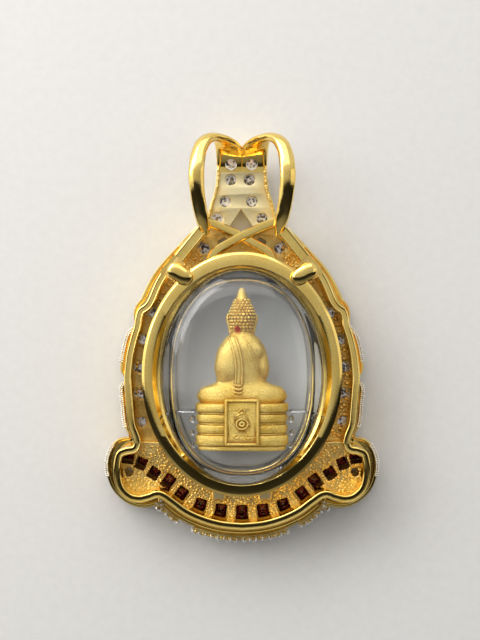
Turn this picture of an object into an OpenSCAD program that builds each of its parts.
// Amulet pendant: a small cast seated figure in a clear domed capsule, held in a jewelled gold
// frame with a looped bail. It lies face down: +Z points out of the back, +Y towards the bail,
// and z = 0 is the front lip of the oval window. All lengths are in millimetres.

/* [Oval window] */
// Width across the oval lock ring
oval_w = 25.2; // [22:0.2:29]
// Length of the oval lock ring
oval_l = 30.8; // [28:0.2:35]
// Width of the lock ring's back face at the sides
ring_face = 2.1; // [1.9:0.1:2.5]
// Width of the lock ring's back face at the top and bottom, on average
ring_end_face = 1.6; // [1.4:0.1:2.2]
// How far the ring's opening sits below the ring's own centre
opening_drop = 0.3; // [0:0.05:0.4]
// Thickness of the lock ring
ring_t = 1.55; // [1.2:0.05:2]
// Bevel along the lock ring's outer edge
ring_bevel = 0.35; // [0.2:0.05:0.5]
// Wall of the sleeve that hangs from the lock ring and holds the capsule down
sleeve_t = 0.5; // [0.4:0.05:0.6]
// Height of the collar above the front lip
collar_h = 5.6; // [5:0.1:7]
// Thickness of the front lip
lip_t = 1.05; // [0.9:0.05:1.3]
// Width of the ledge that the front lip makes under the capsule
lip_w = 0.8; // [0.6:0.1:1]
// Clearance between pieces that are pressed or dropped together
seat_gap = 0.05; // [0.03:0.01:0.1]

/* [Frame] */
// Width of the channel between the lock ring and the rim at the sides
channel_w = 1.2; // [1.1:0.1:1.8]
// Width of the rim's back edge
rim_w = 0.95; // [0.7:0.05:1.2]
// Width of the two shoulder bars below the bail
shoulder_w = 1.4; // [1.1:0.1:1.7]
// How far the rim stays below the lock ring's face
rim_drop = 0.2; // [0:0.05:0.5]
// How far the jewelled front plate lies behind the front lip
plate_setback = 0.9; // [0.7:0.05:1.2]
// Thickness of the front plate
plate_t = 1.3; // [1.1:0.1:1.6]
// Thickness of the plate along the bottom, where the red stones sit
border_t = 3.4; // [2.4:0.1:3.8]
// How far the front plate stands out past the rim at the sides
overhang = 1.15; // [0.8:0.05:1.4]
// Diameter of the small prongs along the lower front edge
prong_d = 0.5; // [0.4:0.05:0.6]
// Height of the small prongs above the front of the plate
prong_h = 2.4; // [1.8:0.1:3]

/* [Claws] */
// Width of the two bent claws
claw_w = 1.9; // [1.5:0.1:2.2]
// Length of a claw
claw_l = 3.4; // [3:0.1:3.8]
// Height of a claw above the lock ring
claw_h = 1.3; // [1:0.1:1.6]
// Width of the slot in the rim on each side of a claw
claw_slot = 0.2; // [0.1:0.05:0.3]

/* [Bail] */
// Width across the bail's two straps
bail_w = 13.2; // [12:0.2:14.6]
// Height of the bail above its feet
bail_l = 12.4; // [11.6:0.2:14]
// Depth of the bail's eye
bail_d = 6.2; // [6:0.1:7.5]
// Thickness of a strap
strap_t = 1; // [0.8:0.05:1.2]
// Width of the two ribs that cross below the bail
rib_w = 1.15; // [0.9:0.05:1.3]
// How far the lower rib passes under the upper one
rib_step = 0.6; // [0.3:0.1:1]
// Height of the raised edges on the bail's front plate
edge_h = 0.35; // [0.2:0.05:0.5]
// Width of those raised edges
edge_w = 0.4; // [0.3:0.05:0.5]

/* [Capsule] */
// Clearance round the capsule in its collar
capsule_gap = 0.1; // [0.05:0.01:0.15]
// Clearance between the capsule's neck and the ring's sleeve
neck_gap = 0.35; // [0.2:0.05:0.5]
// Wall of the capsule at its sides
capsule_wall = 1.4; // [1.2:0.1:1.6]
// Floor of the capsule's front half
capsule_floor = 0.9; // [0.8:0.1:1.1]
// Thickness of the flange on the capsule's back half
flange_t = 0.7; // [0.5:0.1:1]
// Rise of the dome above the lock ring's face
dome_h = 3; // [2:0.1:4]
// Rise of the shallow dome on the front
front_dome_h = 0.65; // [0.4:0.05:0.7]

/* [Figure] */
// Height of the seated figure with its pedestal
figure_h = 20.6; // [18.6:0.1:20.8]
// Width of the pedestal
pedestal_w = 11.7; // [10:0.1:11.8]
// Depth of the pedestal
pedestal_d = 4.8; // [4:0.1:4.9]

/* [Stones] */
// Diameter of the round stones in the bail
bail_stone_d = 1.4; // [1.1:0.05:1.5]
// Diameter of the round stones along the sides and shoulders
side_stone_d = 1.15; // [0.9:0.05:1.15]
// Side of the square red stones along the bottom
red_stone_w = 1.4; // [1.1:0.05:1.45]
// Clearance round a stone in its window
stone_gap = 0.05; // [0.03:0.01:0.08]
// How far the stones' tables stand proud of the front plate
stone_proud = 0.15; // [0:0.05:0.25]

/* [Hidden] */
BAIL_STONES = 8;
SIDE_STONES = 5;
RED_STONES = 15;

gold = "goldenrod";
clear = [0.85, 0.88, 0.9, 0.35];
diamond = "whitesmoke";
ruby = "darkred";

// Cuts run this far past the faces that they open
past = 0.5;
// Solids that are soldered together reach this far into each other
bite = 0.15;
// One wall stands this far inside another where they would lie in one plane
ledge = 0.05;

// Half sizes of the lock ring, its opening and the collar, as [x, y]
ring_half = [oval_w, oval_l] / 2;
opening_half = ring_half - [ring_face, ring_end_face];
sleeve_half = opening_half + [sleeve_t, sleeve_t];
collar_in_half = sleeve_half + [capsule_gap, capsule_gap];
collar_out_half = ring_half - [bite, seat_gap];
lip_half = collar_in_half - [lip_w, lip_w];
// An oval in the middle of the collar's wall, where the plates end
wall_half = (collar_in_half + collar_out_half) / 2;
flange_half = collar_in_half - [capsule_gap, capsule_gap];
neck_half = opening_half - [neck_gap, neck_gap];
cavity_half = neck_half - [capsule_wall, capsule_wall];
// The capsule's hollow is squarer than an ellipse, to clear the pedestal's corners
cavity_power = 2.3;

// Heights of the main faces
plate_front = plate_setback;
plate_back = plate_front + plate_t;
border_back = plate_front + border_t;
stone_z = plate_front - stone_proud;
ring_z = collar_h + seat_gap;
ring_top = ring_z + ring_t;
rim_top = ring_top - rim_drop;
capsule_front_z = lip_t + seat_gap;
cavity_floor = capsule_front_z + capsule_floor;
split_z = cavity_floor + 0.7 * capsule_floor;
flange_top = split_z + seat_gap + flange_t;
dome_z = ring_top;

// Half sizes that the frame's outline is drawn in, measured from the centre of the lock ring
frame_half_w = ring_half[0] + channel_w + rim_w;
frame_half_l = ring_half[1];

// Right half of the rim's outline, from a bail foot down to the bottom: [x share of
// frame_half_w, y share of frame_half_l, front plate's overhang as a share of overhang]
outline_rows = [
    [0.382, 1.198, 0.6],
    [0.523, 1.032, 0.8],
    [0.662, 0.866, 1.0],
    [0.740, 0.745, 1.1],
    [0.812, 0.590, 1.2],
    [0.880, 0.535, 0.9],
    [0.908, 0.465, 0.7],
    [0.920, 0.390, 0.4],
    [0.949, 0.300, 0.9],
    [0.982, 0.160, 1.0],
    [1.000, 0.015, 1.0],
    [1.003, -0.060, 0.4],
    [0.998, -0.130, 1.0],
    [0.984, -0.295, 1.0],
    [0.970, -0.420, 1.0],
    [0.930, -0.525, 0.9],
    [0.928, -0.583, 0.6],
    [0.995, -0.598, 0.6],
    [1.065, -0.635, 1.0],
    [1.093, -0.740, 1.4],
    [1.088, -0.860, 1.4],
    [1.050, -0.960, 1.3],
    [0.965, -1.030, 1.3],
    [0.870, -1.048, 1.4],
    [0.780, -1.030, 1.4],
    [0.706, -1.010, 1.2],
    [0.615, -1.065, 1.5],
    [0.500, -1.145, 1.6],
    [0.350, -1.212, 1.65],
    [0.180, -1.256, 1.65],
    [0, -1.272, 1.65]
];
// Points between two rows of the outline
outline_steps = 3;
// The point of the curve from which the small prongs start
prong_first = 77;
// Inner corners of the plate's edge are filled where they are narrower than twice this
corner_fill = 0.3;
// The rim's upper stretch, above this share of frame_half_l, is a shoulder bar
shoulder_share = 0.83;
// The plate is thick below this share of frame_half_l
border_share = -0.56;

function unit(v) = v / norm(v);
// One stretch of a smooth curve through four rows, as a Catmull-Rom spline
function curve_at(a, b, c, d, t) =
    0.5 * (2 * b + (c - a) * t + (2 * a - 5 * b + 4 * c - d) * t * t
        + (3 * b - a - 3 * c + d) * t * t * t);
function row_at(rows, i) = rows[max(0, min(len(rows) - 1, i))];
function smooth(rows, steps) = concat(
    [for (i = [0:len(rows) - 2], k = [0:steps - 1])
        curve_at(row_at(rows, i - 1), rows[i], rows[i + 1], row_at(rows, i + 2), k / steps)],
    [rows[len(rows) - 1]]
);
// An oval, or with a power above 2 a squarer one, as points round [0, 0]
function oval(half, power = 2, sides = 72) = [
    for (i = [0:sides - 1])
        let (c = cos(360 * i / sides), s = sin(360 * i / sides))
            [half[0] * sign(c) * pow(abs(c), 2 / power), half[1] * sign(s) * pow(abs(s), 2 / power)]
];
function at_height(points, z) = [for (p = points) [p[0], p[1], z]];
function mirrored(points) = [for (i = [len(points) - 1:-1:0]) [-points[i][0], points[i][1]]];

outline_curve = smooth(outline_rows, outline_steps);
outline_half = [for (r = outline_curve) [r[0] * frame_half_w, r[1] * frame_half_l]];
last_point = len(outline_half) - 1;
// Direction out of the outline at a point; the lowest point looks straight down
function outward(i) =
    i == last_point ? [0, -1]
    : let (d = unit(row_at(outline_half, i + 1) - row_at(outline_half, i - 1))) [-d[1], d[0]];
plate_half = [
    for (i = [0:last_point]) outline_half[i] + outward(i) * overhang * outline_curve[i][2]
];
function whole(half) = concat(half, mirrored([for (i = [0:len(half) - 2]) half[i]]));
function whole_plate(half) = concat(half, mirrored(half));
rim_outline = whole(outline_half);
plate_outline = whole(plate_half);

// The bail stands on a line just below the rim's upper corners
foot_y = 1.188 * frame_half_l;
// The lock ring's centre is placed so that the whole piece is centred on the origin
ring_y = -(foot_y + bail_l + plate_half[last_point][1] - prong_d / 2) / 2;

// Right half of the bail's front plate, upwards: [x share of bail_w / 2, y share of bail_l]
bail_plate_rows = [
    [0.80, -0.03], [0.70, 0.14], [0.632, 0.29], [0.55, 0.42], [0.508, 0.56], [0.506, 0.65]
];
// The strap as it leaves the plate, rolls over the top and comes down to its foot. Inner edge
// [x, y, z], outer edge [x, y, z] and thickness, as shares of bail_w / 2, of bail_l less one
// strap's thickness, of bail_d, and of strap_t
strap_rows = [
    [-0.030, 0.685, 0.006, 0.490, 0.685, 0.006, 1.25],
    [-0.030, 0.750, 0.018, 0.498, 0.752, 0.016, 1.20],
    [-0.030, 0.808, 0.060, 0.505, 0.815, 0.055, 1.10],
    [-0.025, 0.862, 0.140, 0.515, 0.885, 0.132, 1.00],
    [0.015, 0.911, 0.290, 0.540, 0.960, 0.270, 0.95],
    [0.140, 0.946, 0.46, 0.600, 1.000, 0.44, 1.00],
    [0.291, 0.968, 0.60, 0.690, 0.995, 0.58, 1.00],
    [0.441, 0.970, 0.72, 0.795, 0.950, 0.70, 1.05],
    [0.568, 0.925, 0.82, 0.886, 0.868, 0.81, 1.10],
    [0.655, 0.823, 0.90, 0.952, 0.772, 0.89, 1.10],
    [0.690, 0.695, 0.96, 0.985, 0.658, 0.95, 1.15],
    [0.705, 0.561, 1.00, 1.000, 0.544, 0.98, 1.20],
    [0.695, 0.382, 0.97, 0.970, 0.373, 0.96, 1.20],
    [0.664, 0.239, 0.89, 0.927, 0.219, 0.88, 1.15],
    [0.630, 0.110, 0.78, 0.870, 0.100, 0.77, 1.10],
    [0.620, -0.030, 0.60, 0.785, -0.030, 0.60, 1.00]
];
// Section of a strap, flat inside and rounded outside: [share of width, share of thickness]
strap_section = [
    [0, 0.3], [0.1, 0], [0.9, 0], [1, 0.3], [1, 0.6], [0.82, 0.92], [0.5, 1], [0.18, 0.92], [0, 0.6]
];
// Middle line of the rib that runs down to the left: [x share of bail_w / 2, y share of bail_l]
rib_rows = [
    [0.68, 0.085], [0.46, 0.045], [0.12, -0.036], [-0.206, -0.127], [-0.506, -0.225], [-0.60, -0.31]
];
// Openings round the crossing, in the same shares: the kite above it and the one at its right
kite_rows = [[-0.02, 0.242], [0.235, 0.052], [-0.02, -0.027], [-0.27, 0.045]];
side_opening_rows = [[0.348, -0.052], [0.227, -0.117], [0.447, -0.177], [0.485, -0.097]];

// Bail stones in pairs, upwards: [middle and half spacing as shares of bail_w / 2, y share of
// bail_l, lean of the sheet under them in degrees, its rise as a share of bail_d]
bail_stone_rows = [
    [-0.045, 0.440, 0.145, 0, 0], [-0.066, 0.264, 0.323, 0, 0], [-0.035, 0.185, 0.553, 0, 0],
    [-0.010, 0.205, 0.770, 25, 0.100]
];
// Side stones from the top: [angle on the oval, share of channel_w out from the lock ring]
side_stone_rows = [[29, 0.52], [15, 0.52], [2, 0.55], [-10, 0.62], [-22.5, 1.4]];
// Shoulder stones: [angle on the oval, share of channel_w out from the lock ring]
shoulder_stone_place = [70, 1.5];
// Red stones from the middle of the bottom outwards: [x share of frame_half_w, y share of
// frame_half_l, turn in degrees]
red_stone_rows = [
    [0, -1.178, 0], [0.186, -1.168, 6], [0.366, -1.124, 16], [0.531, -1.026, 36], [0.643, -0.918, 36],
    [0.768, -0.838, 32], [0.880, -0.755, 22], [0.987, -0.708, 8]
];
// A small open window in each lobe: [x share, y share] and its diameter as a share of rim_w
lobe_window_place = [0.985, -0.825];
lobe_window_share = 1.1;

// Angle on the oval, and distance out from the lock ring as a share of channel_w, of a claw
claw_angle = 53.2;
claw_out_share = 0.25;
// Direction of the right claw's outer end, in degrees from +X
claw_turn = 32;
// Two small blocks that tie the collar to the border: x share of frame_half_w and width
tie_share = 0.2;
tie_w = 1.5;

// A round stone's steps, from table to point: [share of its diameter, height as the same share]
round_steps = [[0.55, 0], [1, 0.16], [1, 0.2], [0.08, 0.63]];
// A square stone's steps, in the same shares of its width
square_steps = [[0.6, 0], [0.85, 0.1], [1, 0.22], [1, 0.27], [0.65, 0.5], [0.12, 0.68]];

// Faces of a skin over rings of equal length, with flat ends
function skin_faces(rings, sides) = concat(
    [[for (j = [0:sides - 1]) j]],
    [for (i = [0:rings - 2], j = [0:sides - 1])
        let (a = i * sides + j, b = i * sides + (j + 1) % sides)
            each [[a, a + sides, b], [b, a + sides, b + sides]]],
    [[for (j = [sides - 1:-1:0]) (rings - 1) * sides + j]]
);
module skin(rings) {
    polyhedron([for (r = rings) each r], skin_faces(len(rings), len(rings[0])));
}
module plate(points, z0, z1) {
    translate([0, 0, z0]) linear_extrude(z1 - z0) polygon(points);
}
module on_both_sides() {
    children();
    mirror([1, 0, 0]) children();
}
function oval_place(angle, out) =
    [(ring_half[0] + out) * cos(angle), (ring_half[1] + out) * sin(angle)];
function bail_place(share) = [share[0] * bail_w / 2, foot_y + share[1] * bail_l];
function frame_place(share) = [share[0] * frame_half_w, share[1] * frame_half_l];
module placed() {
    translate([0, ring_y, 0]) children();
}

// Frame: plates, collar, rim, claws, ribs and bail, soldered into one piece
module band(w) {
    difference() {
        polygon(rim_outline);
        offset(delta = -w) polygon(rim_outline);
    }
}
module half_plane(y0, y1) {
    reach = 2 * frame_half_w;
    translate([-reach, y0]) square([2 * reach, y1 - y0]);
}
module collar_hole() {
    translate([0, -opening_drop / 2]) polygon(oval(wall_half));
}
module rim() {
    shoulder_y = shoulder_share * frame_half_l;
    gate = bail_place([0.62, 0])[0];
    translate([0, 0, plate_back - bite]) linear_extrude(rim_top - plate_back + bite) difference() {
        union() {
            intersection() {
                band(rim_w);
                half_plane(-2 * frame_half_l, shoulder_y + bite);
            }
            intersection() {
                band(shoulder_w);
                half_plane(shoulder_y, 2 * frame_half_l);
            }
        }
        translate([-gate, 0]) square([2 * gate, 2 * frame_half_l]);
        on_both_sides() at_claw() claw_gap();
    }
}
// The jewelled front plate and the bail's plate, pierced for the stones and beside the ribs
module front_plate() {
    half = [for (r = bail_plate_rows) bail_place(r)];
    translate([0, 0, plate_front]) linear_extrude(plate_t) difference() {
        union() {
            offset(delta = -corner_fill) offset(delta = corner_fill) polygon(plate_outline);
            polygon(whole_plate(half));
        }
        collar_hole();
        polygon([for (r = kite_rows) bail_place(r)]);
        for (i = [1:BAIL_STONES - 2]) at_bail_stone(i) circle(d = bail_stone_d + 2 * stone_gap, $fn = 32);
        on_both_sides() {
            polygon([for (r = side_opening_rows) bail_place(r)]);
            for (i = [1:SIDE_STONES]) at_side_stone(i) circle(d = side_stone_d + 2 * stone_gap, $fn = 32);
            at_shoulder_stone() circle(d = side_stone_d + 2 * stone_gap, $fn = 32);
            translate(frame_place(lobe_window_place)) circle(d = lobe_window_share * rim_w, $fn = 32);
        }
        red_windows(red_stone_w + 2 * stone_gap);
    }
    translate([0, 0, plate_back - bite]) linear_extrude(edge_h + bite) difference() {
        offset(delta = -ledge) polygon(whole_plate(half));
        polygon(whole_plate(concat(
            [half[0] - [edge_w, bail_l]],
            [for (p = half) p - [edge_w, 0]],
            [half[len(half) - 1] + [-edge_w, bail_l]]
        )));
    }
}
// A thicker layer behind the red stones; its windows are a little wider than theirs
module border() {
    translate([0, 0, plate_back - bite]) linear_extrude(border_back - plate_back + bite) difference() {
        intersection() {
            offset(delta = -rim_w / 2) polygon(rim_outline);
            half_plane(-2 * frame_half_l, border_share * frame_half_l);
        }
        collar_hole();
        on_both_sides()
            translate(frame_place(lobe_window_place))
                circle(d = lobe_window_share * rim_w + 2 * ledge, $fn = 32);
        red_windows(red_stone_w + 2 * stone_gap + 2 * ledge);
    }
}
module red_windows(w) {
    for (i = [1:RED_STONES]) at_red_stone(i) square(w, center = true);
}
module collar() {
    difference() {
        linear_extrude(collar_h) polygon(oval(collar_out_half));
        translate([0, -opening_drop, lip_t]) linear_extrude(collar_h) polygon(oval(collar_in_half));
        translate([0, -opening_drop, -past]) linear_extrude(collar_h) polygon(oval(lip_half));
    }
}
module prongs() {
    translate([0, 0, stone_z]) linear_extrude(prong_h + stone_proud)
        for (i = [prong_first:last_point], side = [1, -1])
            if (i < last_point || side == 1)
                translate([side * plate_half[i][0], plate_half[i][1]]) circle(d = prong_d, $fn = 16);
}
// A claw is a bent bead over the lock ring, on a post that stands in a gap of the rim
module at_claw() {
    translate(oval_place(claw_angle, claw_out_share * channel_w)) rotate(claw_turn) children();
}
module claw_gap() {
    w = claw_w + 2 * claw_slot;
    translate([0, -w / 2]) square([claw_l, w]);
}
module claw() {
    stations = [-0.985, -0.9, -0.7, -0.3, 0.3, 0.7, 0.9, 0.985];
    mid_z = ring_top + seat_gap + claw_h / 2;
    post = [claw_w / 2, 0.8 * claw_w];
    at_claw() {
        skin([
            for (s = stations)
                let (r = pow(1 - pow(abs(s), 2.8), 1 / 2.8))
                    [for (p = oval([claw_w / 2 * r, claw_h / 2 * r], 2, 12))
                        [s * claw_l / 2, p[0], mid_z + p[1]]]
        ]);
        translate([claw_l / 2 - 0.35 * claw_w - post[0] / 2, -post[1] / 2, plate_back - bite])
            cube([post[0], post[1], mid_z - plate_back + bite]);
    }
}
// A rib stands on the plate; its ends reach into a shoulder bar and into the collar
module rib(top) {
    line = [for (r = rib_rows) bail_place(r)];
    last = len(line) - 1;
    side = [
        for (i = [0:last])
            let (d = unit(line[min(last, i + 1)] - line[max(0, i - 1)])) [-d[1], d[0]] * rib_w / 2
    ];
    plate(
        concat([for (i = [0:last]) line[i] + side[i]], [for (i = [last:-1:0]) line[i] - side[i]]),
        plate_back - bite, top
    );
}
strap_curve = smooth(strap_rows, 2);
function strap_point(row, k) = [
    row[k] * bail_w / 2,
    foot_y + row[k + 1] * (bail_l - strap_t),
    plate_back + row[k + 2] * bail_d
];
module strap() {
    last = len(strap_curve) - 1;
    inner = [for (r = strap_curve) strap_point(r, 0)];
    outer = [for (r = strap_curve) strap_point(r, 3)];
    middle = (inner + outer) / 2;
    skin([
        for (i = [0:last])
            let (
                along = middle[min(last, i + 1)] - middle[max(0, i - 1)],
                across = outer[i] - inner[i],
                up = unit(cross(along, across)) * strap_t * strap_curve[i][6]
            )
                [for (s = strap_section) inner[i] + across * s[0] + up * s[1]]
    ]);
}
module ties() {
    for (side = [-1, 1])
        translate([
            side * tie_share * frame_half_w - tie_w / 2, -ring_half[1] - tie_w / 2, border_back - bite
        ])
            cube([tie_w, tie_w, edge_h + bite]);
}
module frame() {
    color(gold) placed() difference() {
        union() {
            front_plate();
            border();
            rim();
            collar();
            ties();
            prongs();
            on_both_sides() {
                claw();
                strap();
            }
            rib(collar_h - seat_gap);
            mirror([1, 0, 0]) rib(collar_h - seat_gap - rib_step);
        }
        for (i = [BAIL_STONES - 1, BAIL_STONES])
            at_bail_stone(i) translate([0, 0, -past])
                cylinder(d = bail_stone_d + 2 * stone_gap, h = plate_t + bail_d / 4, $fn = 32);
    }
}

// Lock ring: a bevelled oval plate with a sleeve that presses on the capsule's flange
module back_ring() {
    top_half = ring_half - [ring_bevel, ring_bevel];
    color(gold) placed() difference() {
        union() {
            skin([
                at_height(oval(ring_half), ring_z),
                at_height(oval(ring_half), ring_top - ring_bevel),
                at_height(oval(top_half), ring_top)
            ]);
            translate([0, -opening_drop, flange_top + seat_gap])
                linear_extrude(ring_z + bite - flange_top) polygon(oval(sleeve_half));
        }
        translate([0, -opening_drop, 0]) linear_extrude(2 * ring_top) polygon(oval(opening_half));
    }
}

// Rings of a dome over an oval, from its edge towards a small flat at the top
dome_sides = 48;
dome_angles = [0, 15, 32, 50, 68, 84];
function dome(half, power, z, h) = [
    for (a = dome_angles) at_height(oval(half * cos(a), power, dome_sides), z + h * sin(a))
];
// Capsule, back half: a flange, a neck through the ring and a dome, hollow inside
module capsule_back() {
    base = split_z + seat_gap;
    color(clear) placed() translate([0, -opening_drop, 0]) difference() {
        skin(concat(
            [for (z = [base, flange_top]) at_height(oval(flange_half, 2, dome_sides), z)],
            [at_height(oval(neck_half, 2, dome_sides), flange_top)],
            dome(neck_half, 2, dome_z, dome_h)
        ));
        skin(concat(
            [at_height(oval(cavity_half, cavity_power, dome_sides), base - past)],
            dome(cavity_half, cavity_power, dome_z, dome_h - capsule_floor)
        ));
    }
}
// Capsule, front half: a shallow tray with a low dome that shows in the front window
module capsule_front() {
    window_half = lip_half - [capsule_gap, capsule_gap];
    color(clear) placed() translate([0, -opening_drop, 0]) difference() {
        union() {
            plate(oval(flange_half, 2, dome_sides), capsule_front_z, split_z);
            translate([0, 0, capsule_front_z + bite]) mirror([0, 0, 1])
                skin(dome(window_half, 2, 0, front_dome_h + bite));
        }
        plate(oval(cavity_half, cavity_power, dome_sides), cavity_floor, split_z + past);
    }
}

// Figure: seated cross-legged on a tiered pedestal, its back to +Z
// Pedestal tiers upwards: [share of pedestal_w, share of pedestal_d, height as share of figure_h]
tiers = [
    [0.99, 0.96, 0.030], [1, 1, 0.062], [0.94, 0.92, 0.016], [0.985, 0.97, 0.050],
    [0.93, 0.90, 0.016], [0.985, 0.96, 0.050], [0.93, 0.90, 0.016], [1, 0.98, 0.045]
];
// Body sections upwards: [y share of figure_h, half width and half depth as shares of
// pedestal_w, share of pedestal_d that the middle stands back from the front]
body_rows = [
    [0.280, 0.440, 0.150, 0.45], [0.330, 0.478, 0.165, 0.45], [0.375, 0.440, 0.150, 0.47],
    [0.405, 0.300, 0.130, 0.50], [0.450, 0.225, 0.120, 0.54], [0.540, 0.230, 0.130, 0.57],
    [0.620, 0.255, 0.135, 0.58], [0.670, 0.245, 0.120, 0.58], [0.705, 0.150, 0.095, 0.57],
    [0.725, 0.085, 0.075, 0.56]
];
head_rows = [
    [0.715, 0.075, 0.070, 0.56], [0.735, 0.105, 0.095, 0.54], [0.775, 0.128, 0.118, 0.54],
    [0.825, 0.132, 0.122, 0.55], [0.865, 0.108, 0.105, 0.56], [0.890, 0.075, 0.072, 0.57],
    [0.915, 0.062, 0.060, 0.57], [0.940, 0.042, 0.040, 0.57], [0.965, 0.030, 0.030, 0.57],
    [1.000, 0.006, 0.006, 0.57]
];
body_sides = 20;
limb_sides = 10;
function figure_rings(rows) = [
    for (r = rows)
        [for (p = oval([r[1], r[2]] * pedestal_w, 2.2, body_sides))
            [p[0], r[0] * figure_h, front_z + r[3] * pedestal_d - p[1]]]
];
front_z = cavity_floor + 2 * seat_gap;
function tier_base(i) = i == 0 ? 0 : tier_base(i - 1) + tiers[i - 1][2] * figure_h;
// Arm, folded leg and ear of one side, each with the axis that its rings are set out from
limbs = [
    [
        [0.225, 0.655, 0.58, 0.050], [0.262, 0.560, 0.59, 0.055], [0.272, 0.470, 0.54, 0.050],
        [0.205, 0.420, 0.38, 0.042], [0.095, 0.400, 0.26, 0.038]
    ],
    [[0.430, 0.325, 0.42, 0.062], [0.240, 0.325, 0.30, 0.058], [0.040, 0.322, 0.22, 0.048]],
    [[0.130, 0.815, 0.56, 0.014], [0.120, 0.745, 0.56, 0.020]]
];
limb_axes = [[1, 0, 0], [0, 1, 0], [1, 0, 0]];
// A limb along points of the body, each [x share of pedestal_w, y share of figure_h, z share of
// pedestal_d, radius as a share of pedestal_w]; its rings are set out from the axis that it is given
module limb(rows, axis) {
    last = len(rows) - 1;
    line = [for (r = rows) [r[0] * pedestal_w, r[1] * figure_h, front_z + r[2] * pedestal_d]];
    ways = [for (i = [0:last]) unit(line[min(last, i + 1)] - line[max(0, i - 1)])];
    ends = [[0, -0.8, 0.6], [last, 0.8, 0.6]];
    stations = concat([ends[0]], [for (i = [0:last]) [i, 0, 1]], [ends[1]]);
    skin([
        for (st = stations)
            let (
                r = rows[st[0]][3] * pedestal_w,
                a = unit(cross(ways[st[0]], axis)),
                b = cross(a, ways[st[0]])
            )
                [for (p = oval([r, r] * st[2], 2, limb_sides))
                    line[st[0]] + ways[st[0]] * r * st[1] + a * p[0] - b * p[1]]
    ]);
}
module pedestal() {
    for (i = [0:len(tiers) - 1])
        translate([0, tier_base(i), front_z + pedestal_d / 2]) rotate([-90, 0, 0])
            linear_extrude(tiers[i][2] * figure_h + (i < len(tiers) - 1 ? bite / 3 : 0))
                polygon(oval([tiers[i][0] * pedestal_w, tiers[i][1] * pedestal_d] / 2, 3.2, 32));
}
module figure() {
    lift = 2 * seat_gap;
    bottom = -0.315 * oval_l;
    color(gold) placed() translate([0, bottom + lift, 0]) {
        pedestal();
        skin(figure_rings(body_rows));
        skin(figure_rings(head_rows));
        on_both_sides() for (k = [0:len(limbs) - 1]) limb(limbs[k], limb_axes[k]);
        limb([[0, 0.803, 0.250, 0.012], [0, 0.775, 0.230, 0.022]], [1, 0, 0]);
        limb([[-0.05, 0.69, 0.80, 0.028], [-0.02, 0.56, 0.86, 0.032], [0, 0.41, 0.83, 0.034]], [1, 0, 0]);
        translate([-0.14 * pedestal_w, 0.04 * figure_h, front_z + 0.9 * pedestal_d])
            cube([0.28 * pedestal_w, 0.22 * figure_h, 0.12 * pedestal_d]);
    }
}

// Stones: the table looks out of the front, the point out of the back
module round_stone(d) {
    color(diamond) skin([
        for (step = round_steps)
            [for (p = oval([step[0], step[0]] * d / 2, 2, 8)) [p[0], p[1], stone_z + step[1] * d]]
    ]);
}
module square_stone(w) {
    color(ruby) skin([
        for (s = square_steps)
            [for (c = [[1, 1], [-1, 1], [-1, -1], [1, -1]])
                [c[0] * s[0] * w / 2, c[1] * s[0] * w / 2, stone_z + s[1] * w]]
    ]);
}
module at_bail_stone(i) {
    row = bail_stone_rows[floor((i - 1) / 2)];
    place = bail_place([row[0] + (i % 2 == 1 ? -1 : 1) * row[1], row[2]]);
    translate([place[0], place[1], row[4] * bail_d]) rotate([row[3], 0, 0]) children();
}
module at_side_stone(i) {
    translate(oval_place(side_stone_rows[i - 1][0], side_stone_rows[i - 1][1] * channel_w)) children();
}
module at_shoulder_stone() {
    translate(oval_place(shoulder_stone_place[0], shoulder_stone_place[1] * channel_w)) children();
}
module at_red_stone(i) {
    row = red_stone_rows[floor(i / 2)];
    side = i % 2 == 0 ? -1 : 1;
    place = frame_place(row);
    translate([side * place[0], place[1]]) rotate(side * row[2]) children();
}

frame();
back_ring();
capsule_back();
capsule_front();
figure();
for (i = [1:BAIL_STONES])
    placed() at_bail_stone(i) round_stone(bail_stone_d);
for (i = [1:SIDE_STONES]) {
    placed() mirror([1, 0, 0]) at_side_stone(i) round_stone(side_stone_d);
    placed() at_side_stone(i) round_stone(side_stone_d);
}
placed() mirror([1, 0, 0]) at_shoulder_stone() round_stone(side_stone_d);  // shoulder_stone_left
placed() at_shoulder_stone() round_stone(side_stone_d);  // shoulder_stone_right
for (i = [1:RED_STONES])
    placed() at_red_stone(i) square_stone(red_stone_w);
